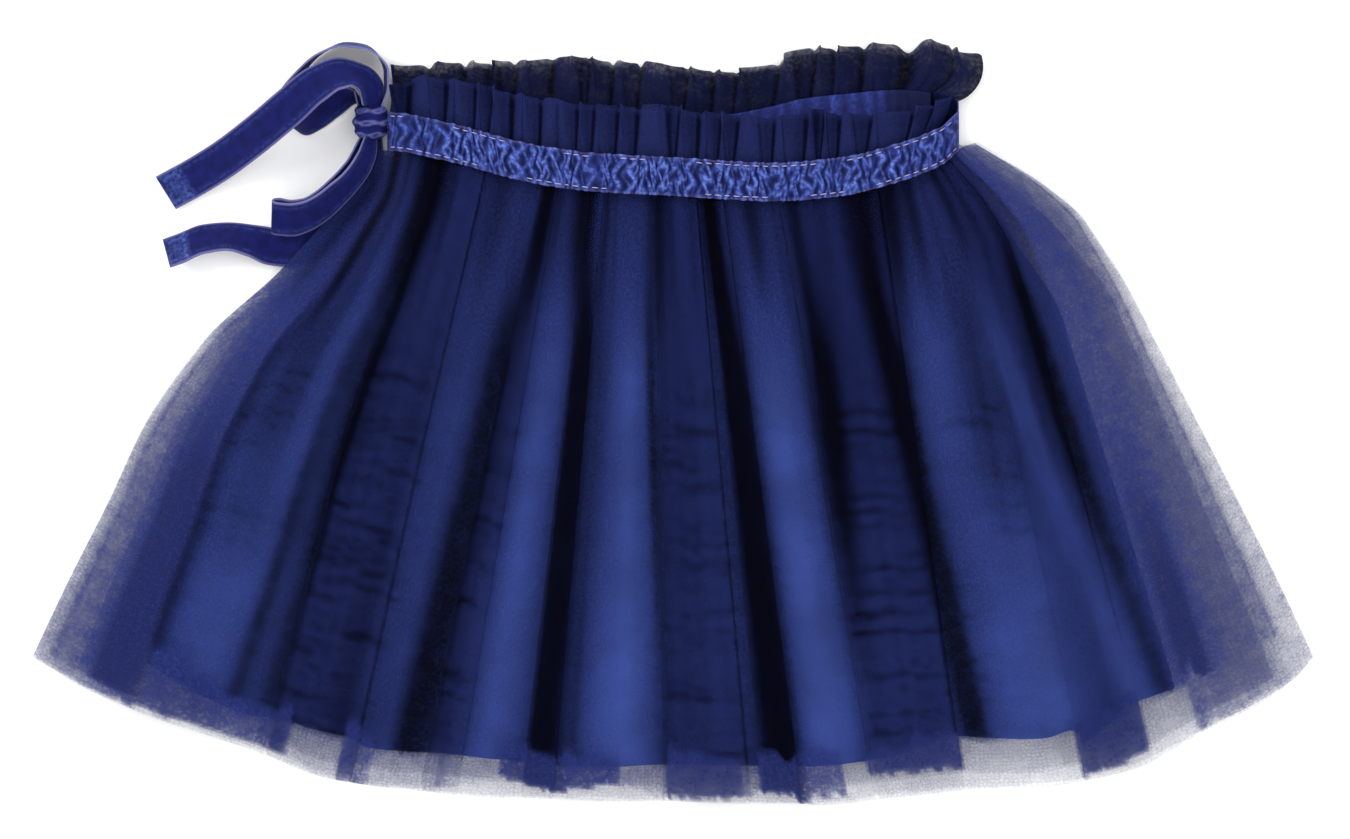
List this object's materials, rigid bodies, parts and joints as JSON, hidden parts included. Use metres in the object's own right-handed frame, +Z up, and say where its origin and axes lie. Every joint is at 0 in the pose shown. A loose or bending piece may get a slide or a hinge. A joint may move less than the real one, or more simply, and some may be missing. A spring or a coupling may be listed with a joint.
{
  "type": "gathered net skirt",
  "caption": "Child's gathered net skirt over a satin lining, with a velvet ribbon casing and a drawstring bow, laid flat with the front up.",
  "frame": {"origin": "centre of the laid-out skirt's footprint, on the surface it lies on", "axes": "+X along the hem to the wearer's left side, +Y from the hem to the waist, +Z up out of the front"},
  "size_m": [0.5382, 0.3215, 0.025],
  "materials": {
    "outer_net": "soft navy net",
    "under_net": "soft navy net",
    "lining_satin": "royal blue satin",
    "ribbon_velvet": "blue velvet ribbon"
  },
  "bodies": {
    "root": {"net_outer_front": "outer_net", "net_outer_back": "outer_net", "net_under_front": "under_net", "net_under_back": "under_net", "lining_front": "lining_satin", "lining_back": "lining_satin", "heading_front": "outer_net", "heading_back": "outer_net", "casing_front": "ribbon_velvet", "casing_back": "ribbon_velvet", "band_inside_back": "lining_satin", "tie_knot": "ribbon_velvet", "tie_loop_upper": "ribbon_velvet", "tie_loop_lower": "ribbon_velvet", "tie_tail_upper": "ribbon_velvet", "tie_tail_lower": "ribbon_velvet"}
  },
  "joints": []
}
